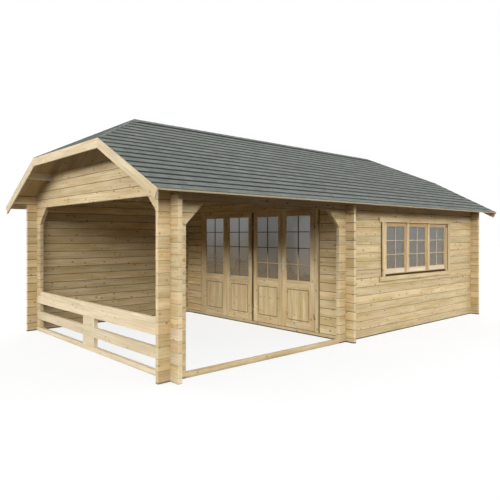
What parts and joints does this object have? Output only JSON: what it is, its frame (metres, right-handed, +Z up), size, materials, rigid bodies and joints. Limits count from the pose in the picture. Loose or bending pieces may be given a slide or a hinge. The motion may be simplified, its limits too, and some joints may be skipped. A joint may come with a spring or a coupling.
{
  "type": "log cabin",
  "caption": "Garden log cabin with one closed room behind an open veranda, interlocking wall logs, a glazed pair of opening doors and a half-hipped shingle roof.",
  "frame": {"origin": "on the ground, under the middle of the roof's plan", "axes": "+Z up, +X along the ridge from the veranda gable to the rear wall, +Y from the wall with the window to the closed long wall"},
  "size_m": [8.302, 4.955, 3.4348],
  "materials": {
    "log": "planed spruce",
    "joinery": "planed spruce",
    "roof_board": "planed spruce",
    "shingle": "mineral granules",
    "glazing": "clear",
    "ironmongery": "satin"
  },
  "bodies": {
    "cabin": {"back_wall": "log", "front_wall": "log", "front_top_logs": "log", "veranda_sill": "log", "gable_sill": "log", "rear_wall": "log", "partition_sill": "log", "partition_left": "log", "partition_right": "log", "partition_gable": "log", "veranda_gable": "log", "front_corner_post": "log", "back_corner_stubs": "log", "balustrade": "log", "ridge_beam": "log", "purlins": "log", "front_roof_boards": "roof_board", "back_roof_boards": "roof_board", "veranda_hip_boards": "roof_board", "rear_hip_boards": "roof_board", "front_shingles": "shingle", "back_shingles": "shingle", "veranda_hip_shingles": "shingle", "rear_hip_shingles": "shingle", "veranda_bargeboards": "joinery", "rear_bargeboards": "joinery", "window_frame": "joinery", "window_sashes": "joinery", "window_glass": "glazing", "window_trim": "joinery", "door_frame": "joinery", "fixed_leaves": "joinery", "fixed_glass": "glazing", "fixed_panels": "joinery", "frame_hinges": "ironmongery", "room_floor": "roof_board"},
    "left_leaf": {"left_door": "joinery", "left_door_glass": "glazing", "left_door_panel": "joinery", "left_door_hinges": "ironmongery"},
    "right_leaf": {"right_door": "joinery", "right_door_glass": "glazing", "right_door_panel": "joinery", "right_door_hinges": "ironmongery", "door_handle": "ironmongery"}
  },
  "joints": [
    {"name": "left_door_swing", "type": "hinge", "parent": "cabin", "child": "left_leaf", "pos_m": [-0.5905, -0.0235, 1.06], "axis": [0, 0, -1], "range_deg": [0, 110]},
    {"name": "right_door_swing", "type": "hinge", "parent": "cabin", "child": "right_leaf", "pos_m": [-0.5905, -1.5065, 1.06], "axis": [0, 0, 1], "range_deg": [0, 110]}
  ]
}
